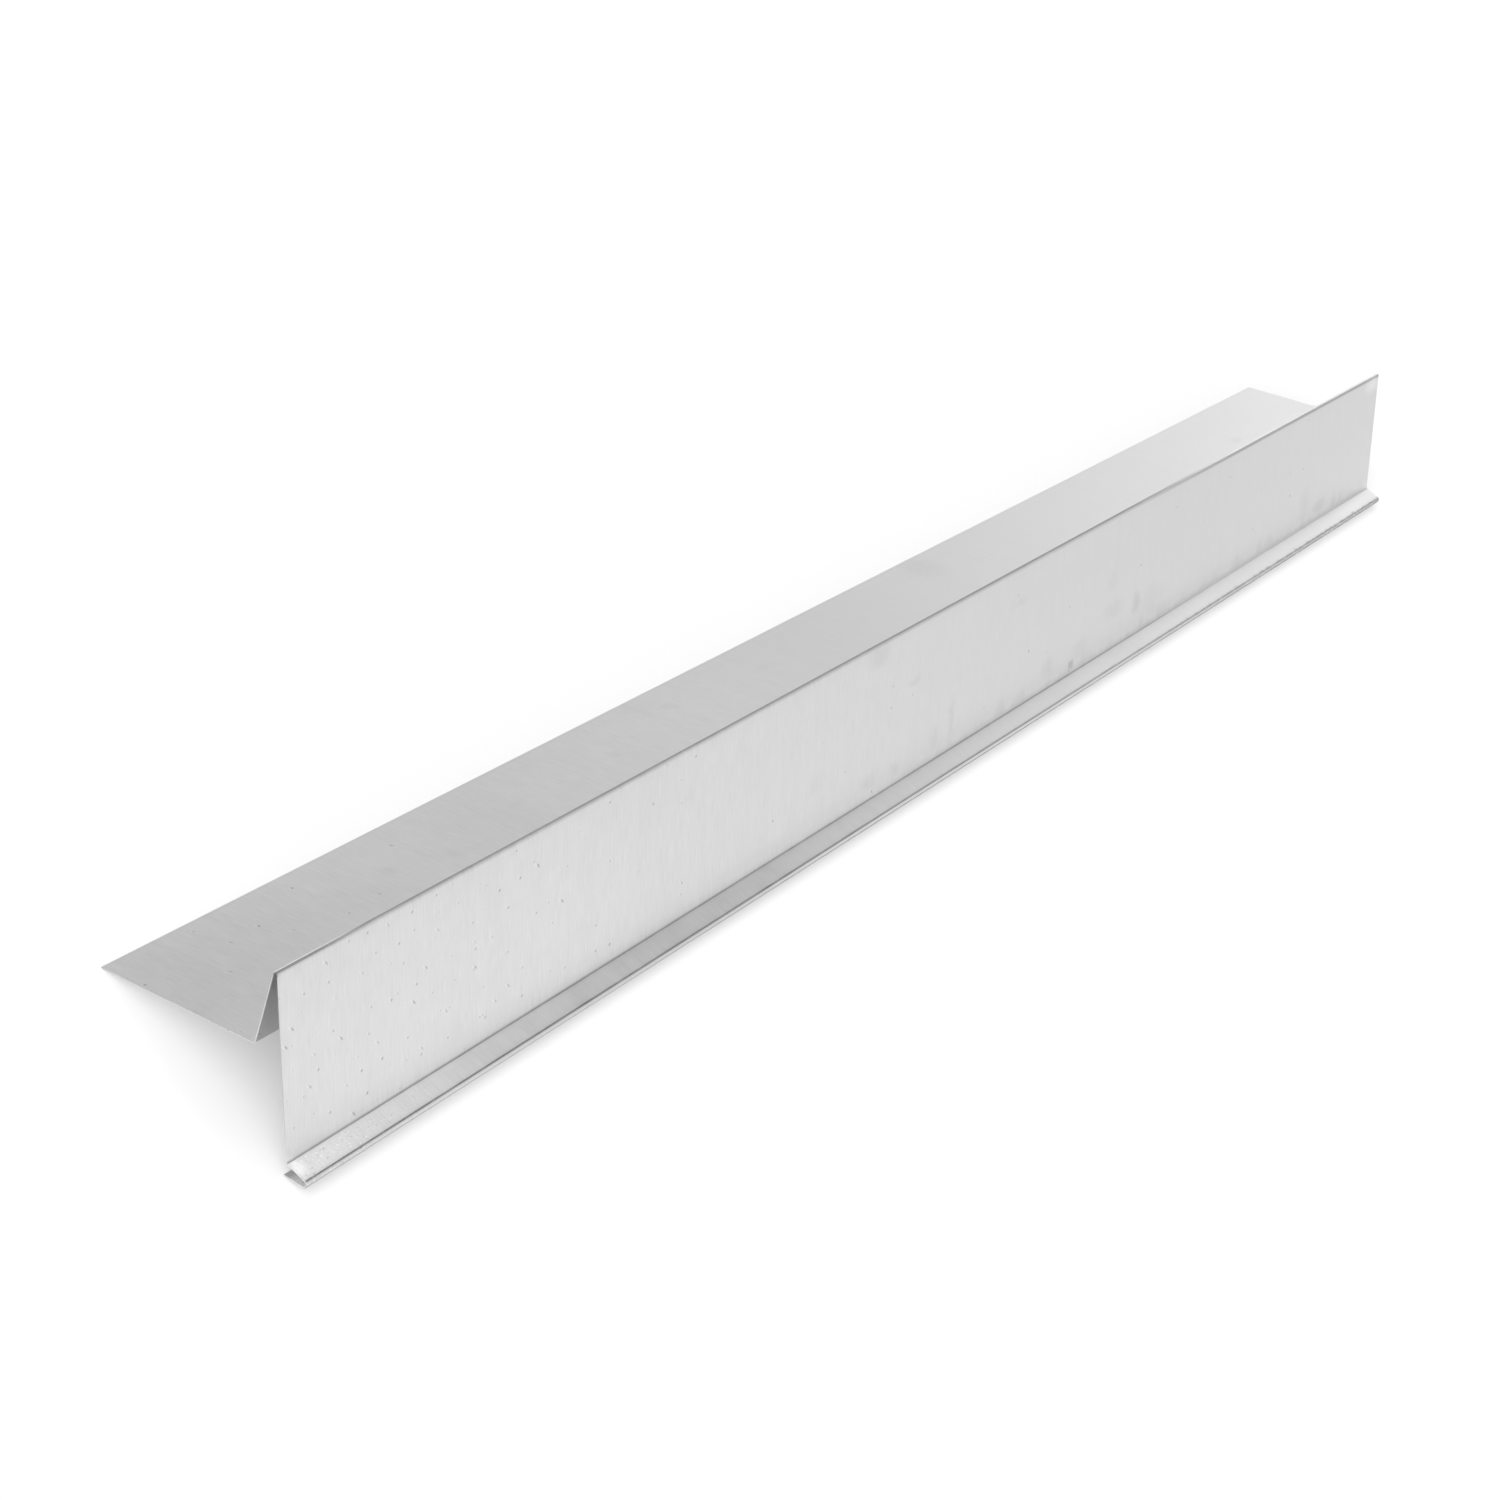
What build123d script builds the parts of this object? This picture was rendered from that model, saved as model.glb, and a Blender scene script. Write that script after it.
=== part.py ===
import os
from math import atan2, degrees

from build123d import *

# Verge flashing: one strip of galvanised sheet steel, folded along its length.
# The roof flange is nailed down on the deck and the roofing is bonded over it.
# The upstand and the face are folded back to back as a kerb that keeps water on
# the roof. The face hangs over the verge, and at its foot a kick with an open
# hem throws the drips clear of the wall.

# The strip
length = 1000.0
sheet = 0.6

# Flat widths between one bend and the next, from the flange's free edge onwards
flange_flat = 71.4
upstand_flat = 30.2
face_flat = 71.6
kick_flat = 8.5
hem_flat = 8.8

# How far each bend turns the sheet, in degrees, going the same way: plus is to the left
root_angle = -77.3
ridge_angle = 161.0
crease_angle = -62.0
nose_angle = 164.0

# Inside radii: the three bends of the folding brake, and the wider open hem
bend_radius = 0.7
hem_radius = 1.2

folds = [
    (root_angle, bend_radius, upstand_flat),
    (ridge_angle, bend_radius, face_flat),
    (crease_angle, bend_radius, kick_flat),
    (nose_angle, hem_radius, hem_flat),
]

# Section as it is fixed, with the underside of the flange level on the deck.
# The drawn line is the weather side of the sheet, so a bend to the left has its
# outside on that line and a bend to the right has its inside there.
with BuildSketch() as fixed_section:
    with BuildLine() as weather_side:
        flat = Line((flange_flat, sheet), (0, sheet))
        for angle, inside_radius, width in folds:
            radius = inside_radius + sheet if angle > 0 else inside_radius
            bend = JernArc(flat @ 1, flat % 1, radius, angle)
            flat = PolarLine(bend @ 1, width, direction=bend % 1)
        offset(amount=sheet, side=Side.LEFT)
    make_face()

# Unheld on a floor it lies on two edges: the free edge of the flange, at its
# underside, and the free edge of the hem. The section is turned until both are level.
flange_edge = Vector(flange_flat, 0)
hem_edge = flat @ 1
floor_slope = degrees(atan2(flange_edge.Y - hem_edge.Y, flange_edge.X - hem_edge.X))

with BuildSketch() as lying_section:
    add(fixed_section.sketch, rotation=-floor_slope)

# Across the middle of the length, with the floor at Z 0 and the face on the -Y side
extent = lying_section.sketch.bounding_box()
middle_plane = Plane(
    origin=(0, -(extent.min.X + extent.max.X) / 2, -extent.min.Y),
    x_dir=(0, 1, 0),
    z_dir=(1, 0, 0),
)

with BuildPart() as verge_flashing:
    with BuildSketch(middle_plane):
        add(lying_section.sketch)
    extrude(amount=length / 2, both=True)

verge_flashing.part.label = "verge_flashing"

os.makedirs("parts", exist_ok=True)
export_step(verge_flashing.part, "parts/verge_flashing.step")

print(f"Strip width before folding: {verge_flashing.part.volume / sheet / length:.1f} mm")
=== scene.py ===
from math import atan2, cos, pi, radians, sin

import bpy
from mathutils import Matrix, Vector


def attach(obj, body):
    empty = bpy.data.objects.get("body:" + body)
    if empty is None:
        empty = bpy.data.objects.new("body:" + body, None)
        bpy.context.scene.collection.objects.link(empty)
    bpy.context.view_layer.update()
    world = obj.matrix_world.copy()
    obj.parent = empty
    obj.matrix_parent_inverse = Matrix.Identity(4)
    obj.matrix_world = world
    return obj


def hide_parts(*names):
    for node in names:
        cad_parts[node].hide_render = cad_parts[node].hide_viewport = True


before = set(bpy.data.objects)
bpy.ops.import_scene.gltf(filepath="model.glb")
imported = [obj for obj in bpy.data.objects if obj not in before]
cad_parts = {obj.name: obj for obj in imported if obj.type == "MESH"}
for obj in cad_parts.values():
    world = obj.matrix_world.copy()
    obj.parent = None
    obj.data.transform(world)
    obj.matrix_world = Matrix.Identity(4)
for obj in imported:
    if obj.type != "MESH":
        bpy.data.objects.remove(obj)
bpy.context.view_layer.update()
print("frame loaded:", sorted(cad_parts))

scene = bpy.context.scene
scene.view_settings.view_transform = "Standard"


# A socket that can be used in sums: numbers add Math nodes, vectors add Vector Math nodes
class Socket:
    def __init__(self, nodes, socket):
        self.nodes = nodes
        self.socket = socket

    # another output of the same node
    def beside(self, name):
        return Socket(self.nodes, self.socket.node.outputs[name])

    def combine(self, operation, first, second):
        sockets = [part.socket for part in (first, second) if isinstance(part, Socket)]
        isVector = any(socket.type == "VECTOR" for socket in sockets)
        kind = "ShaderNodeVectorMath" if isVector else "ShaderNodeMath"
        return self.nodes.add(kind, {"operation": operation}, {0: first, 1: second})

    def __add__(self, other):
        return self.combine("ADD", self, other)

    def __radd__(self, other):
        return self.combine("ADD", other, self)

    def __sub__(self, other):
        return self.combine("SUBTRACT", self, other)

    def __rsub__(self, other):
        return self.combine("SUBTRACT", other, self)

    def __mul__(self, other):
        return self.combine("MULTIPLY", self, other)

    def __rmul__(self, other):
        return self.combine("MULTIPLY", other, self)

    def __truediv__(self, other):
        return self.combine("DIVIDE", self, other)

    def __rtruediv__(self, other):
        return self.combine("DIVIDE", other, self)


# Adds nodes of any type to one tree: settings first, then the values or links of the sockets
class Nodes:
    def __init__(self, tree):
        self.tree = tree

    def add(self, kind, settings=None, inputs=None, output=0):
        node = self.tree.nodes.new(kind)
        for name, value in (settings or {}).items():
            setattr(node, name, value)
        for name, value in (inputs or {}).items():
            if isinstance(value, Socket):
                self.tree.links.new(value.socket, node.inputs[name])
            else:
                node.inputs[name].default_value = value
        return Socket(self, node.outputs[output]) if len(node.outputs) else None

    def math(self, operation, first, second=0.0):
        return self.add("ShaderNodeMath", {"operation": operation}, {0: first, 1: second})

    # from one range to another, and no further than its ends
    def remap(self, value, low, high, toLow, toHigh, curve="LINEAR"):
        return self.add("ShaderNodeMapRange", {"interpolation_type": curve}, {
            "Value": value, "From Min": low, "From Max": high, "To Min": toLow, "To Max": toHigh})

    def smooth(self, value, low, high, toLow=0.0, toHigh=1.0):
        return self.remap(value, low, high, toLow, toHigh, "SMOOTHSTEP")


# The photograph's camera. The flashing lies on the floor, and the picture was turned afterwards.
photoCamera = {
    "place": (-1.1259, -0.2424, 0.7499),
    "aim": (-0.1380, 0.0068, 0.0),      # the middle of the picture, on the floor
    "turn": 37.616,                     # degrees that the picture is turned
    "lens": 67.32,
    "sensor": 36.0,
    "nearest": 0.01,
    "farthest": 100,
}


def makeCamera():
    camera = bpy.data.objects.new("camera", bpy.data.cameras.new("camera"))
    scene.collection.objects.link(camera)
    camera.data.lens = photoCamera["lens"]
    camera.data.sensor_width = photoCamera["sensor"]
    camera.data.clip_start = photoCamera["nearest"]
    camera.data.clip_end = photoCamera["farthest"]
    place = Vector(photoCamera["place"])
    look = (Vector(photoCamera["aim"]) - place).to_track_quat("-Z", "Y").to_matrix().to_4x4()
    turn = Matrix.Rotation(radians(photoCamera["turn"]), 4, "Z")
    camera.matrix_world = Matrix.Translation(place) @ look @ turn
    scene.camera = camera
    print("camera set")


# The strip, in metres, from the flange's free edge to the hem's. Going that way with the
# weather side to the right, a fold with a plus turns left.
strip = {
    "sizes": {
        "Length": 1.0,
        "Sheet": 0.0006,
        "Steps Along": 240,
        "Wave": 0.00018,                # how far the wide flats stand off true, as folded sheet does
        "Wave Length": 0.16,
        "Seed": 7.0,
    },
    "flats": {                          # width, and steps across
        "Flange": (0.0714, 22),
        "Upstand": (0.0302, 10),
        "Face": (0.0716, 22),
        "Kick": (0.0085, 4),
        "Hem": (0.0088, 4),
    },
    "folds": {                          # degrees, inside radius, and steps round
        "Root": (-77.3, 0.0007, 8),
        "Ridge": (161.0, 0.0007, 18),
        "Crease": (-62.0, 0.0007, 8),
        "Nose": (164.0, 0.0012, 18),
    },
    "wavy": ("Flange", "Upstand", "Face"),
    "edgeRound": 0.00008,               # the sheared edges
    "edgeSteps": 2,
    "edgeAngle": 60,                    # degrees, past which an edge is a sheared one
    "sharpAngle": 20,                   # degrees, past which the shading has an edge
}


def stripSizes(finish):
    sizes = dict(strip["sizes"])
    for name, (width, steps) in strip["flats"].items():
        sizes[name + " Flat"] = width
        sizes[name + " Steps"] = steps
    for name, (angle, radius, steps) in strip["folds"].items():
        sizes[name + " Angle"] = radians(angle)
        sizes[name + " Radius"] = radius
        sizes[name + " Steps"] = steps
    sizes["Finish"] = finish
    return sizes


# The flats and folds in turn, each with its width on the flat strip and its number of steps,
# and the radius of each fold at the middle of the sheet, with the sign of its angle
def stripParts(nodes, size):
    parts = []
    radii = {}
    for flat, fold in zip(strip["flats"], [*strip["folds"], None]):
        parts.append((flat, size(flat + " Flat"), size(flat + " Steps")))
        if fold:
            angle = size(fold + " Angle")
            radius = size(fold + " Radius") + size("Sheet") * 0.5
            radii[fold] = radius * nodes.math("SIGN", angle)
            parts.append((fold, radius * nodes.math("ABSOLUTE", angle), size(fold + " Steps")))
    return parts, radii


def foldedStripTree(sizes):
    kinds = {int: "NodeSocketInt", float: "NodeSocketFloat", bpy.types.Material: "NodeSocketMaterial"}
    tree = bpy.data.node_groups.new("foldedStrip", "GeometryNodeTree")
    tree.is_modifier = True
    for name, value in sizes.items():
        tree.interface.new_socket(name, in_out="INPUT", socket_type=kinds[type(value)])
    tree.interface.new_socket("Geometry", in_out="OUTPUT", socket_type="NodeSocketGeometry")
    nodes = Nodes(tree)
    size = nodes.add("NodeGroupInput").beside       # size("Length") is the socket of that input
    parts, radii = stripParts(nodes, size)

    # a flat plate with one metre for each step across
    steps = sum(count for _, _, count in parts)
    plateSize = nodes.add("ShaderNodeCombineXYZ", {}, {"X": size("Length"), "Y": steps, "Z": size("Sheet")})
    plate = nodes.add("GeometryNodeMeshCube", {}, {
        "Size": plateSize, "Vertices X": size("Steps Along") + 1, "Vertices Y": steps + 1, "Vertices Z": 2})
    position = nodes.add("GeometryNodeInputPosition")
    along = nodes.add("ShaderNodeSeparateXYZ", {}, {0: position})
    step = along.beside("Y") + steps * 0.5
    depth = along.beside("Z")

    # the steps get their real widths
    place = 0.0
    firstStep = 0.0
    firstPlace = 0.0
    starts = {}
    widths = {}
    for name, width, count in parts:
        starts[name] = firstPlace
        widths[name] = width
        place = place + nodes.remap(step, firstStep, firstStep + count, 0.0, width)
        firstStep = firstStep + count
        firstPlace = firstPlace + width

    # the wide flats wave a little between their folds
    wavePlace = nodes.add("ShaderNodeCombineXYZ", {}, {"X": along, "Y": place, "Z": size("Seed")})
    noise = nodes.add("ShaderNodeTexNoise", {}, {
        "Vector": wavePlace, "Scale": 1.0 / size("Wave Length"), "Detail": 1.0})
    wave = (noise - 0.5) * size("Wave") * 2.0
    between = 0.0
    for flat in strip["wavy"]:
        share = nodes.remap(place, starts[flat], starts[flat] + widths[flat], 0.0, pi)
        between = between + nodes.math("SINE", share)

    # the last fold first: what lies beyond a fold is drawn back over it and turned about its centre
    folded = nodes.add("ShaderNodeCombineXYZ", {}, {"X": along, "Y": place, "Z": depth + wave * between})
    for fold in reversed(strip["folds"]):
        travel = nodes.remap(place, starts[fold], starts[fold] + widths[fold], 0.0, widths[fold])
        back = nodes.add("ShaderNodeCombineXYZ", {}, {"Y": travel})
        centre = nodes.add("ShaderNodeCombineXYZ", {}, {"Y": starts[fold], "Z": radii[fold]})
        folded = nodes.add("ShaderNodeVectorRotate", {"rotation_type": "X_AXIS"}, {
            "Vector": folded - back, "Center": centre, "Angle": travel / radii[fold]})

    # the place on the flat strip stays with the sheet, for the rolled finish
    flatPlace = nodes.add("ShaderNodeCombineXYZ", {}, {"X": along, "Y": place, "Z": depth})
    marked = nodes.add("GeometryNodeStoreNamedAttribute", {"data_type": "FLOAT_VECTOR", "domain": "POINT"}, {
        "Geometry": plate, "Name": "strip", "Value": flatPlace})
    shaped = nodes.add("GeometryNodeSetPosition", {}, {"Geometry": marked, "Position": folded})
    real = nodes.add("GeometryNodeRealizeInstances", {}, {"Geometry": shaped})
    finished = nodes.add("GeometryNodeSetMaterial", {}, {"Geometry": real, "Material": size("Finish")})
    nodes.add("NodeGroupOutput", {}, {"Geometry": finished})
    return tree


def plainMesh(made):
    graph = bpy.context.evaluated_depsgraph_get()
    shown = made.evaluated_get(graph)
    return bpy.data.meshes.new_from_object(shown, preserve_all_data_layers=True, depsgraph=graph)


def foldedMesh(finish):
    sizes = stripSizes(finish)
    tree = foldedStripTree(sizes)
    folding = bpy.data.objects.new("folding", bpy.data.meshes.new("folding"))
    scene.collection.objects.link(folding)
    modifier = folding.modifiers.new("fold", "NODES")
    modifier.node_group = tree
    for item in tree.interface.items_tree:
        if item.in_out == "INPUT":
            modifier[item.identifier] = sizes[item.name]
    mesh = plainMesh(folding)
    bpy.data.objects.remove(folding)
    return mesh


# How far the folded strip leans, from its two free edges: the flange's at the underside, and the hem's
def leanOf(mesh):
    places = [Vector(item.vector) for item in mesh.attributes["strip"].data]

    def outwards(index):
        return places[index].y - places[index].z

    flangeEdge = mesh.vertices[min(range(len(places)), key=outwards)].co
    hemEdge = mesh.vertices[max(range(len(places)), key=outwards)].co
    return atan2(hemEdge.z - flangeEdge.z, hemEdge.y - flangeEdge.y)


def makeStrip(finish):
    sheet = bpy.data.objects.new("flashing_sheet", foldedMesh(finish))
    scene.collection.objects.link(sheet)
    lean = leanOf(sheet.data)
    bevel = sheet.modifiers.new("shearedEdge", "BEVEL")
    bevel.width = strip["edgeRound"]
    bevel.segments = strip["edgeSteps"]
    bevel.limit_method = "ANGLE"
    bevel.angle_limit = radians(strip["edgeAngle"])
    mesh = plainMesh(sheet)
    sheet.modifiers.clear()
    sheet.data = mesh

    # laid down on its free edges, in the middle of the floor
    mesh.transform(Matrix.Rotation(pi - lean, 4, "X"))
    lowest = min(vertex.co.z for vertex in mesh.vertices)
    foremost = min(vertex.co.y for vertex in mesh.vertices)
    hindmost = max(vertex.co.y for vertex in mesh.vertices)
    mesh.transform(Matrix.Translation((0, -(foremost + hindmost) / 2, -lowest)))
    mesh.shade_smooth()
    mesh.set_sharp_from_angle(angle=radians(strip["sharpAngle"]))
    mesh.materials.clear()              # the nodes leave an empty slot before the finish
    mesh.materials.append(finish)
    mesh.polygons.foreach_set("material_index", [0] * len(mesh.polygons))
    print("strip folded:", len(mesh.vertices), "vertices, leaning", round(lean, 4))
    return sheet


# The zinc coat. Its marks lie on the strip as it was before folding, in metres: along it from
# the middle, and across it from the flange's free edge. The roll marks run across the length.
# Tones are shares of the colour. Numbers that say how something fades are where that starts and
# ends, and, where there are two more, how strong it is there and there.
zinc = {
    "colour": (0.745, 0.745, 0.745, 1),
    "roughness": 0.35,
    "sidesApart": 40.0,                 # keeps the pattern of one side off the other
    "grains": {                         # length, width, seed, and its share in tone, roughness and relief
        "rollLines": (0.0009, 0.010, 0.0, 0.120, 0.0, 12.0),
        "rollBands": (0.0060, 0.120, 3.7, 0.056, 0.0, 16.0),
        "mottle": (0.0070, 0.008, 7.4, 0.064, 0.12, 24.0),
        "clouds": (0.0450, 0.060, 11.1, 0.040, 0.08, 0.0),
    },
    "lively": (-0.25, 0.05, 1.0, 0.45),     # these are stronger at the near end
    "scratch": 1.6,                     # how far the strongest roll lines stand out
    "reliefUnit": 0.000001,             # relief is in micrometres
    "rim": (1.5, 0.2),                  # a spot fades in from here to here, in half sizes

    # pits in the coat, each with a painted highlight on one side, crowded at the near end of the face
    "pitCell": 0.010,                   # each cell has one pit or none
    "pits": [                           # size, how much longer than wide, slant, seed
        (0.00048, 1.0, 0.0, 0.0),
        (0.00036, 2.6, 0.7, 17.3),
    ],
    "pitLeast": 0.4,                    # added to the random size
    "pitsAlong": (-0.40, -0.30, 0.9, 0.10),
    "pitsAcross": (0.080, 0.100, 0.25, 1.0),
    "pitsEnd": (0.17690, 0.17590),      # none beyond the crease
    "pitDark": 0.42,
    "pitHighlight": 0.10,
    "pitHighlightSide": (0.06, 0.05, 0.0),       # where the painted highlight sits beside the pit, in cells
    "pitDepth": 40.0,

    # dirt that has crept up from the crease in flames, and a band of painted light right above the crease
    "crease": 0.17790,
    "flame": (0.014, 0.5, 40.0, 3.0),   # length, width, seed and detail
    "flamePower": 4.0,
    "flameHeight": (0.003, 0.06),       # the least, and what the noise adds
    "dirt": 0.11,
    "dirtAlong": (-0.16, 0.02),
    "creaseLight": 0.11,
    "creaseLightHeight": 0.008,

    # painted highlights and painted shade along the folds: where across, half width, where it has
    # faded out, from and to along, darker there and there
    "foldShadeAndHighlights": [
        (0.10355, 0.00045, 0.00080, -0.480, -0.450, -0.65, 0.0),        # the ridge: painted highlights at both ends, painted shade between
        (0.10375, 0.00055, 0.00145, -0.475, -0.450, 0.0, 0.50),
        (0.10450, 0.00030, 0.00075, -0.480, -0.450, 0.50, 0.0),
        (0.10400, 0.00055, 0.00115, 0.14, 0.30, 0.0, -0.75),
        (0.10560, 0.00030, 0.00110, 0.14, 0.30, 0.0, 0.28),
        (0.17780, 0.00035, 0.00090, 0.08, 0.30, 0.34, 0.03),            # painted shade in the crease
        (0.18985, 0.00090, 0.00135, -0.35, -0.05, 0.40, 0.72),          # a painted reflection of the shaded floor, under the nose
    ],
    "ridge": 0.10435,
    "ridgeReach": (0.0022, 0.0012),     # on both sides of it
    "ridgeDull": 0.25,                  # how much rougher the zinc is on the tight fold

    # painted glints in a frosty grain on the near end of the kick
    "kickGlint": 16.0,
    "kickGlintGrain": (0.0014, 0.0010, 50.0, 1.0),
    "kickGlintAcross": (0.1785, 0.1800),
    "kickGlintAlong": (-0.40, -0.49),

    # painted light and shade on the side that is turned in, from the root to the ridge, and the painted
    # light that the hem adds
    "inside": (0.074, 0.103, 1.12, 0.84),
    "insideHem": (0.15, 0.18, 0.0, 0.5),

    # bare steel at the sheared ends, and the tone of it where the ridge was cut
    "cutAlong": (0.49990, 0.49996),
    "cutEdge": 0.82,
    "cutRidge": 0.45,

    # marks left by hands and rain, and painted highlights and painted shade: where along and across, half
    # length, half width, how much darker
    "smudgesAndPaintedLight": [
        (-0.102, 0.110, 0.008, 0.006, 0.07),
        (-0.070, 0.132, 0.006, 0.002, 0.06),
        (-0.153, 0.154, 0.006, 0.005, 0.04),
        (-0.108, 0.168, 0.007, 0.004, 0.06),
        (-0.048, 0.167, 0.004, 0.006, 0.06),
        (-0.032, 0.162, 0.0025, 0.010, 0.07),
        (-0.085, 0.170, 0.004, 0.003, 0.05),
        (0.032, 0.122, 0.009, 0.002, 0.05),
        (0.067, 0.166, 0.007, 0.005, 0.06),
        (0.094, 0.173, 0.003, 0.0025, 0.24),
        (0.103, 0.166, 0.010, 0.005, 0.05),
        (0.136, 0.140, 0.006, 0.005, 0.04),
        (0.141, 0.156, 0.012, 0.005, 0.05),
        (0.168, 0.160, 0.005, 0.006, 0.11),
        (0.187, 0.163, 0.014, 0.007, 0.04),
        (0.397, 0.163, 0.008, 0.010, 0.05),
        (0.421, 0.169, 0.010, 0.005, 0.10),
        (0.490, 0.109, 0.010, 0.005, -0.16),        # a painted highlight on the far corner of the face
        (-0.374, 0.026, 0.003, 0.0045, 0.06),       # on the flange, from here
        (-0.408, 0.021, 0.004, 0.003, 0.03),
        (-0.345, 0.035, 0.005, 0.004, 0.03),
        (-0.293, 0.026, 0.003, 0.002, 0.04),
        (-0.170, 0.016, 0.004, 0.003, 0.05),
        (-0.183, 0.006, 0.012, 0.006, 0.03),
        (-0.227, 0.027, 0.003, 0.003, 0.04),
        (-0.100, 0.022, 0.007, 0.004, 0.03),
        (0.066, 0.011, 0.013, 0.011, 0.05),
        (0.395, 0.038, 0.006, 0.003, 0.05),
        (-0.4985, 0.181, 0.004, 0.004, -0.22),      # a painted highlight on the near corner of the kick
        (-0.520, 0.030, 0.110, 0.045, 0.09),        # wide soft painted light and shade, from here
        (-0.190, 0.030, 0.100, 0.045, -0.05),
        (0.140, 0.145, 0.280, 0.060, 0.032),
        (-0.410, 0.155, 0.130, 0.050, -0.035),
        (-0.290, 0.184, 0.110, 0.008, 0.07),
        (0.100, 0.184, 0.360, 0.008, -0.11),
        (0.480, 0.188, 0.300, 0.0012, 0.22),
    ],
    "ragged": (0.006, 0.006),           # length and width of the noise that roughens their outlines
    "raggedSeeds": (20.0, 30.0),
    "raggedReach": 0.008,
}


# Adds the nodes of the coat, which all go by the place on the flat strip
class CoatNodes(Nodes):
    def __init__(self, tree):
        super().__init__(tree)
        stripPlace = self.add("ShaderNodeAttribute", {"attribute_name": "strip"}, {}, "Vector")
        self.along = self.add("ShaderNodeSeparateXYZ", {}, {0: stripPlace})
        self.across = self.along.beside("Y")
        self.weather = self.math("LESS_THAN", self.along.beside("Z"), 0.0)      # 1 on the side that shows
        self.place = self.add("ShaderNodeCombineXYZ", {}, {
            "X": self.along, "Y": self.across, "Z": self.weather})
        self.onRidge = self.smooth(self.math("ABSOLUTE", self.across - zinc["ridge"]), *zinc["ridgeReach"])

    def noise(self, length, width, seed, detail=2.0):
        scaled = self.place * (1 / length, 1 / width, zinc["sidesApart"]) + (0.0, 0.0, seed)
        return self.add("ShaderNodeTexNoise", {}, {"Vector": scaled, "Scale": 1.0, "Detail": detail}) - 0.5

    # the offset from the middle is in half sizes of the spot
    def spot(self, offset, strength=1.0):
        distance = self.add("ShaderNodeVectorMath", {"operation": "LENGTH"}, {0: offset}, "Value")
        return self.smooth(distance, *zinc["rim"], 0.0, strength)


# The rolled and mottled sheet: its tone, roughness and relief, before any marks
def rolledSheet(nodes):
    tone = 1.0
    rough = zinc["roughness"]
    relief = 0.0
    lively = nodes.smooth(nodes.along, *zinc["lively"])
    for name, (length, width, seed, toTone, toRough, toRelief) in zinc["grains"].items():
        grain = nodes.noise(length, width, seed) * lively
        tone = tone + grain * toTone
        rough = rough + grain * toRough
        relief = relief + grain * toRelief
        if name == "rollLines":
            tone = tone + grain * grain * grain * zinc["scratch"]
    return tone, rough, relief


# How much darker the pits are, and how deep
def coatPits(nodes):
    crowded = nodes.smooth(nodes.along, *zinc["pitsAlong"]) * nodes.smooth(nodes.across, *zinc["pitsAcross"])
    crowded = crowded * (1 - nodes.onRidge) * nodes.smooth(nodes.across, *zinc["pitsEnd"])
    cell = zinc["pitCell"]
    darker = 0.0
    deep = 0.0
    for size, longer, slant, seed in zinc["pits"]:
        turned = nodes.add("ShaderNodeVectorRotate", {"rotation_type": "Z_AXIS"}, {
            "Vector": nodes.place, "Angle": slant})
        cells = turned * (1 / cell, 1 / cell / longer, 0.0) + (seed, seed, 0.0)
        middle = nodes.add("ShaderNodeTexVoronoi", {"voronoi_dimensions": "2D"}, {
            "Vector": cells, "Scale": 1.0}, "Position")
        chance = nodes.add("ShaderNodeSeparateColor", {}, {0: middle.beside("Color")})
        there = nodes.math("LESS_THAN", chance, crowded)
        strength = chance.beside("Green")
        reach = (strength + zinc["pitLeast"]) * (size / cell)
        offset = (cells - middle) * (1.0, 1.0, 0.0)
        pit = nodes.spot(offset / reach) * there
        # a painted highlight on one side of each pit
        paintedHighlight = nodes.spot((offset + zinc["pitHighlightSide"]) / reach) * there
        darker = darker + pit * (strength * zinc["pitDark"]) - paintedHighlight * zinc["pitHighlight"]
        deep = deep + pit * zinc["pitDepth"]
    return darker, deep


# marks of hands and rain, with painted highlights and painted shade among them
def smudgesAndPaintedLight(nodes):
    shifts = [nodes.noise(*zinc["ragged"], seed) * zinc["raggedReach"] for seed in zinc["raggedSeeds"]]
    place = nodes.place + nodes.add("ShaderNodeCombineXYZ", {}, {"X": shifts[0], "Y": shifts[1]})
    darker = 0.0
    for along, across, halfLength, halfWidth, dark in zinc["smudgesAndPaintedLight"]:
        offset = (place - (along, across, 0.0)) * (1 / halfLength, 1 / halfWidth, 0.0)
        darker = darker + nodes.spot(offset, dark)
    return darker


def creaseDirtAndLight(nodes):
    crease = zinc["crease"]
    least, added = zinc["flameHeight"]
    flame = nodes.math("POWER", nodes.noise(*zinc["flame"]) + 0.5, zinc["flamePower"])
    up = (crease - nodes.across) / (flame * added + least)
    dirt = nodes.smooth(up, 1.0, 0.0, 0.0, zinc["dirt"]) * nodes.smooth(nodes.along, *zinc["dirtAlong"])
    # painted light on the face just above the crease
    creaseLight = nodes.smooth(nodes.across, crease - zinc["creaseLightHeight"], crease, 0.0, zinc["creaseLight"])
    return (dirt - creaseLight) * nodes.math("GREATER_THAN", crease, nodes.across)


# painted highlights and painted shade along the folds
def paintedFoldLines(nodes):
    darker = 0.0
    for across, halfWidth, faded, start, end, darkStart, darkEnd in zinc["foldShadeAndHighlights"]:
        line = nodes.smooth(nodes.math("ABSOLUTE", nodes.across - across), faded, halfWidth)
        darker = darker + line * nodes.smooth(nodes.along, start, end, darkStart, darkEnd)
    return darker


# painted glints on the near end of the kick
def paintedKickGlints(nodes):
    there = nodes.smooth(nodes.across, *zinc["kickGlintAcross"]) * nodes.smooth(nodes.along, *zinc["kickGlintAlong"])
    sparkle = nodes.noise(*zinc["kickGlintGrain"])
    return sparkle * sparkle * sparkle * there * zinc["kickGlint"]


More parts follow.
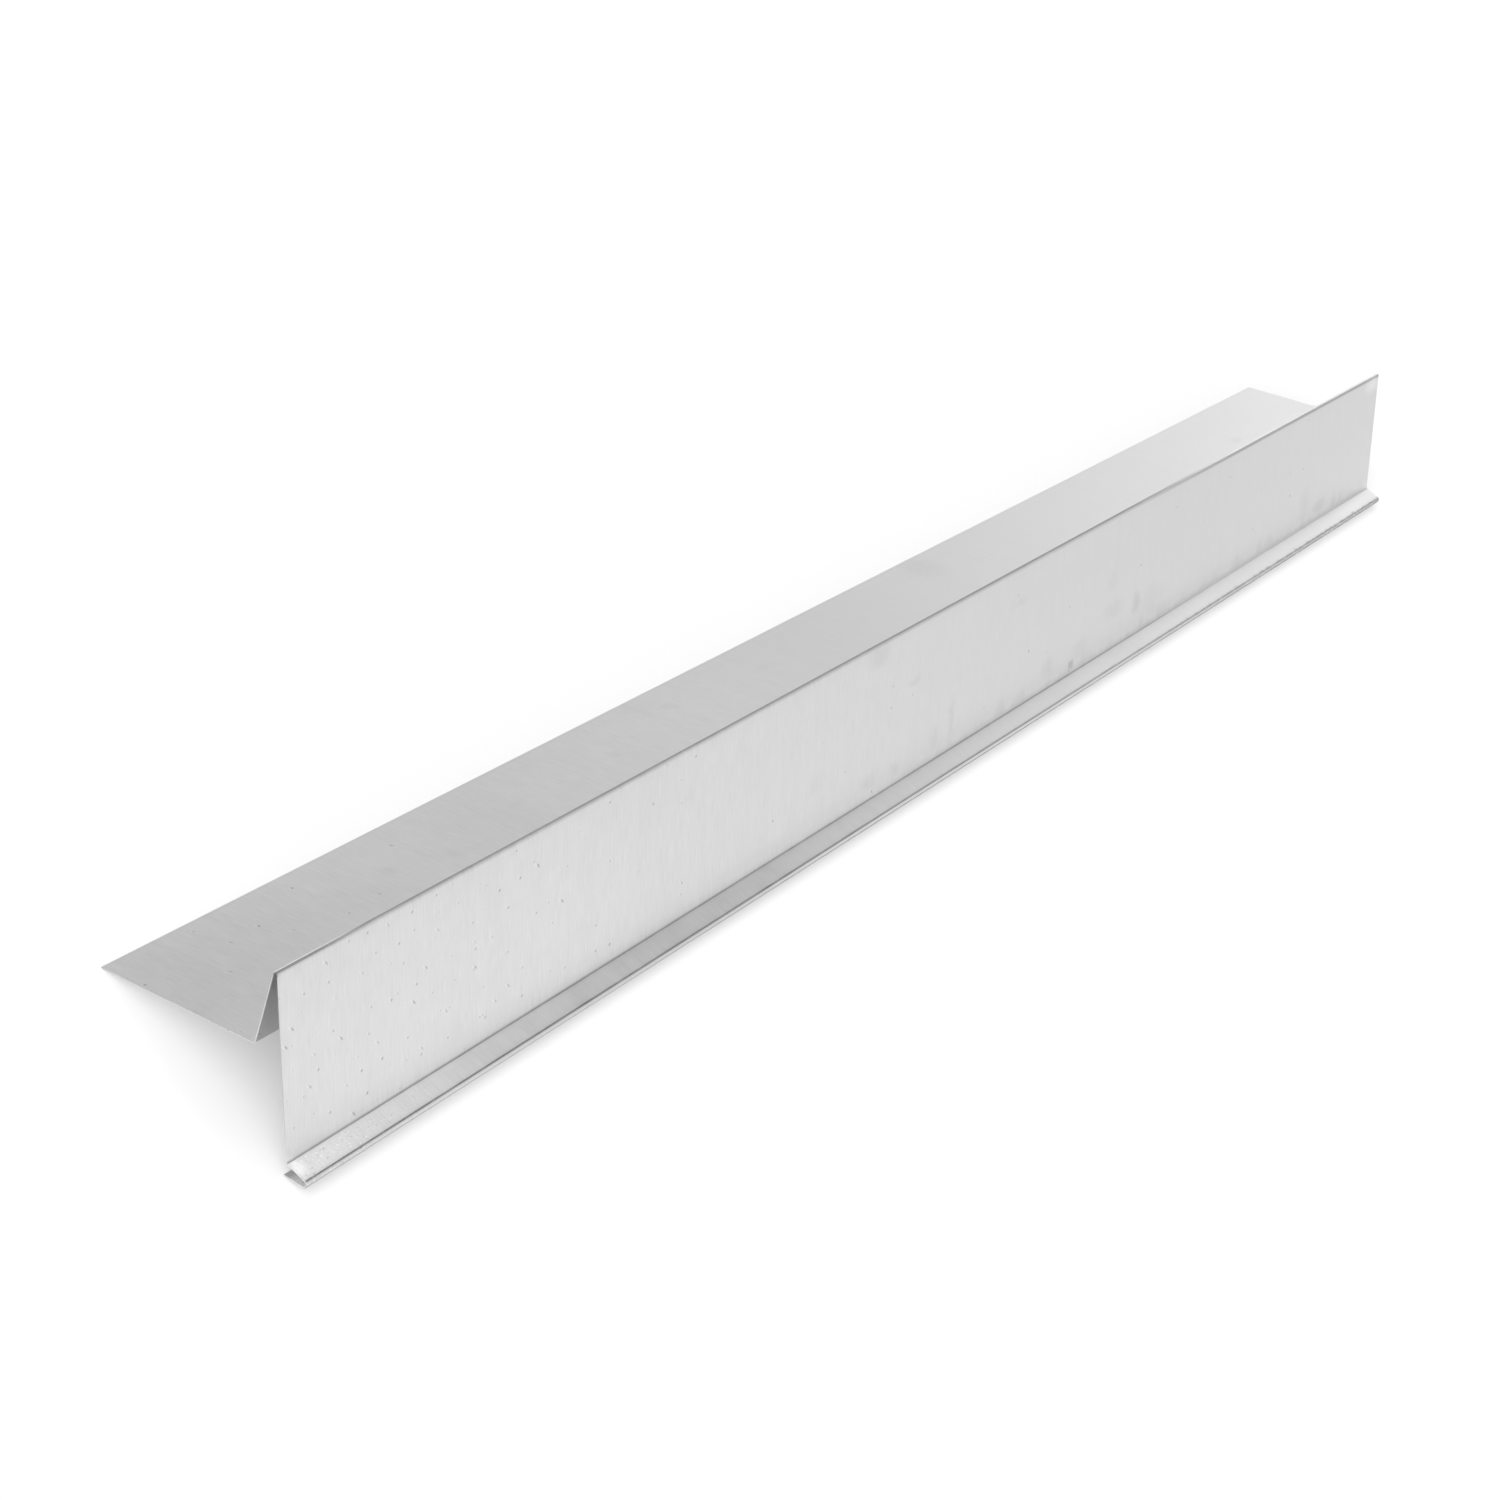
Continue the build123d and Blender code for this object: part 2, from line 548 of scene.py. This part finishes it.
# The tone is multiplied by this painted light and shade inside the folds, which is 1 on the side that shows
def turnedInLightAndShade(nodes):
    inside = nodes.smooth(nodes.across, *zinc["inside"]) + nodes.smooth(nodes.across, *zinc["insideHem"])
    return inside + nodes.weather * (1 - inside)


# The tone is multiplied by this too, which is 1 between the sheared ends
def shearedEnds(nodes):
    cut = nodes.smooth(nodes.math("ABSOLUTE", nodes.along), *zinc["cutAlong"])
    ridgeToo = nodes.onRidge * (zinc["cutEdge"] - zinc["cutRidge"])
    return 1 - cut * (ridgeToo + (1 - zinc["cutEdge"]))


def emptyMaterial(name):
    material = bpy.data.materials.new(name)
    material.use_nodes = True
    material.node_tree.nodes.clear()
    return material


def zincCoat():
    material = emptyMaterial("zincCoat")
    nodes = CoatNodes(material.node_tree)
    tone, rough, relief = rolledSheet(nodes)
    pitted, deep = coatPits(nodes)
    marksAndPaintedLight = smudgesAndPaintedLight(nodes) + creaseDirtAndLight(nodes) + paintedFoldLines(nodes)
    tone = tone - pitted - marksAndPaintedLight * nodes.weather + paintedKickGlints(nodes)
    tone = tone * turnedInLightAndShade(nodes) * shearedEnds(nodes)

    # a Mix node's colours are its sockets 6 and 7, and the mixed colour is its output 2
    colour = nodes.add("ShaderNodeMix", {"data_type": "RGBA", "blend_type": "MULTIPLY"}, {
        0: 1.0, 6: zinc["colour"], 7: tone}, 2)
    normal = nodes.add("ShaderNodeBump", {}, {"Distance": zinc["reliefUnit"], "Height": relief - deep})
    shader = nodes.add("ShaderNodeBsdfPrincipled", {}, {
        "Base Color": colour,
        "Metallic": 1.0,
        "Roughness": rough + nodes.onRidge * zinc["ridgeDull"],
        "Normal": normal,
    })
    nodes.add("ShaderNodeOutputMaterial", {}, {"Surface": shader})
    print("zinc coat mixed:", len(material.node_tree.nodes), "nodes")
    return material


# The studio round the sheet: a plain dome with soft lamps and dark cards in it, and a floor.
# Directions are degrees round from +X towards +Y, and degrees up.
studio = {
    "horizon": 0.680,
    "zenith": 1.05,
    "lamps": {              # round, up, half the width in degrees, and what it adds
        "front": (-98.8, 3.2, 58.5, 0.55),
        "farEnd": (18.8, 17.5, 25.8, 1.13),
        "overFlange": (40.4, 50.8, 16.0, 2.88),
        "highCard": (-2.8, 47.4, 28.7, -2.58),
        "sideCard": (36.7, 28.9, 18.4, -2.55),
        "lowCard": (65.9, 2.4, 16.1, -0.97),
        "behind": (180.0, 40.0, 60.0, 0.35),
        "nearEnd": (185.0, 12.0, 45.0, 0.45),
    },
    "floorSuns": {          # wide suns that soften the shadow on the floor: round, up, width, strength
        "besideHem": (-130.0, 24.0, 60.0, 0.8),
        "behind": (180.0, 52.0, 60.0, 1.4),
        "nearEnd": (185.0, 28.0, 60.0, 1.4),
    },
    "floorSize": 40,
    "floorColour": (0.60, 0.60, 0.60, 1),
    "white": (1, 1, 1, 1),
    "floorWhite": 1.5,      # how bright the plain white is on the floor
    "lift": 0.15,           # how much of the floor that is seen is that white, over its shadow
}


# 1 for a ray that the picture shows, straight or in a reflection, and 0 for one that only lights
def seenRay(nodes, kinds):
    seen = 0.0
    for kind in kinds:
        seen = nodes.math("MAXIMUM", seen, nodes.add("ShaderNodeLightPath", {}, {}, kind))
    return seen


def makeDome():
    world = bpy.data.worlds.new("studio")
    scene.world = world
    world.use_nodes = True
    world.node_tree.nodes.clear()
    nodes = Nodes(world.node_tree)
    direction = nodes.add("ShaderNodeTexCoord", {}, {}, "Generated")
    height = nodes.add("ShaderNodeSeparateXYZ", {}, {0: direction}, "Z")
    level = height * (studio["zenith"] - studio["horizon"]) + studio["horizon"]
    for turn, up, half, strength in studio["lamps"].values():
        flat = cos(radians(up))
        lamp = (flat * cos(radians(turn)), flat * sin(radians(turn)), sin(radians(up)))
        facing = nodes.add("ShaderNodeVectorMath", {"operation": "DOT_PRODUCT"}, {
            0: direction, 1: lamp}, "Value")
        level = level + nodes.smooth(nodes.math("ARCCOSINE", facing), radians(half), 0.0) * strength
    level = nodes.math("MAXIMUM", level, 0.0)
    lit = nodes.add("ShaderNodeBackground", {}, {"Color": studio["white"], "Strength": level})
    plain = nodes.add("ShaderNodeBackground", {}, {"Color": studio["white"], "Strength": 1.0})
    seen = seenRay(nodes, ["Is Camera Ray"])
    sky = nodes.add("ShaderNodeMixShader", {}, {0: seen, 1: lit, 2: plain})
    nodes.add("ShaderNodeOutputWorld", {}, {"Surface": sky})


def makeFloorSuns():
    for name, (turn, up, width, strength) in studio["floorSuns"].items():
        lamp = bpy.data.objects.new(name, bpy.data.lights.new(name, "SUN"))
        scene.collection.objects.link(lamp)
        lamp.data.energy = strength
        lamp.data.angle = radians(width)
        lamp.rotation_euler = (0, radians(90 - up), radians(turn))
        lamp.visible_glossy = False     # the zinc doesn't mirror it


def makeFloor():
    bpy.ops.mesh.primitive_plane_add(size=studio["floorSize"])
    floor = bpy.context.object
    floor.name = "floor"
    material = emptyMaterial("floor")
    nodes = Nodes(material.node_tree)
    seen = seenRay(nodes, ["Is Camera Ray", "Is Glossy Ray", "Is Transmission Ray"])
    shaded = nodes.add("ShaderNodeBsdfDiffuse", {}, {"Color": studio["floorColour"]})
    plain = nodes.add("ShaderNodeEmission", {}, {
        "Color": studio["white"], "Strength": studio["floorWhite"]})
    pale = nodes.add("ShaderNodeMixShader", {}, {0: seen * studio["lift"], 1: shaded, 2: plain})
    nodes.add("ShaderNodeOutputMaterial", {}, {"Surface": pale})
    material.cycles.emission_sampling = "NONE"      # the white is there to be seen, and lights nothing
    floor.data.materials.append(material)


makeCamera()
sheet = makeStrip(zincCoat())
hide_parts("verge_flashing")
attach(sheet, "root")
makeDome()
makeFloorSuns()
makeFloor()
print("studio lit")
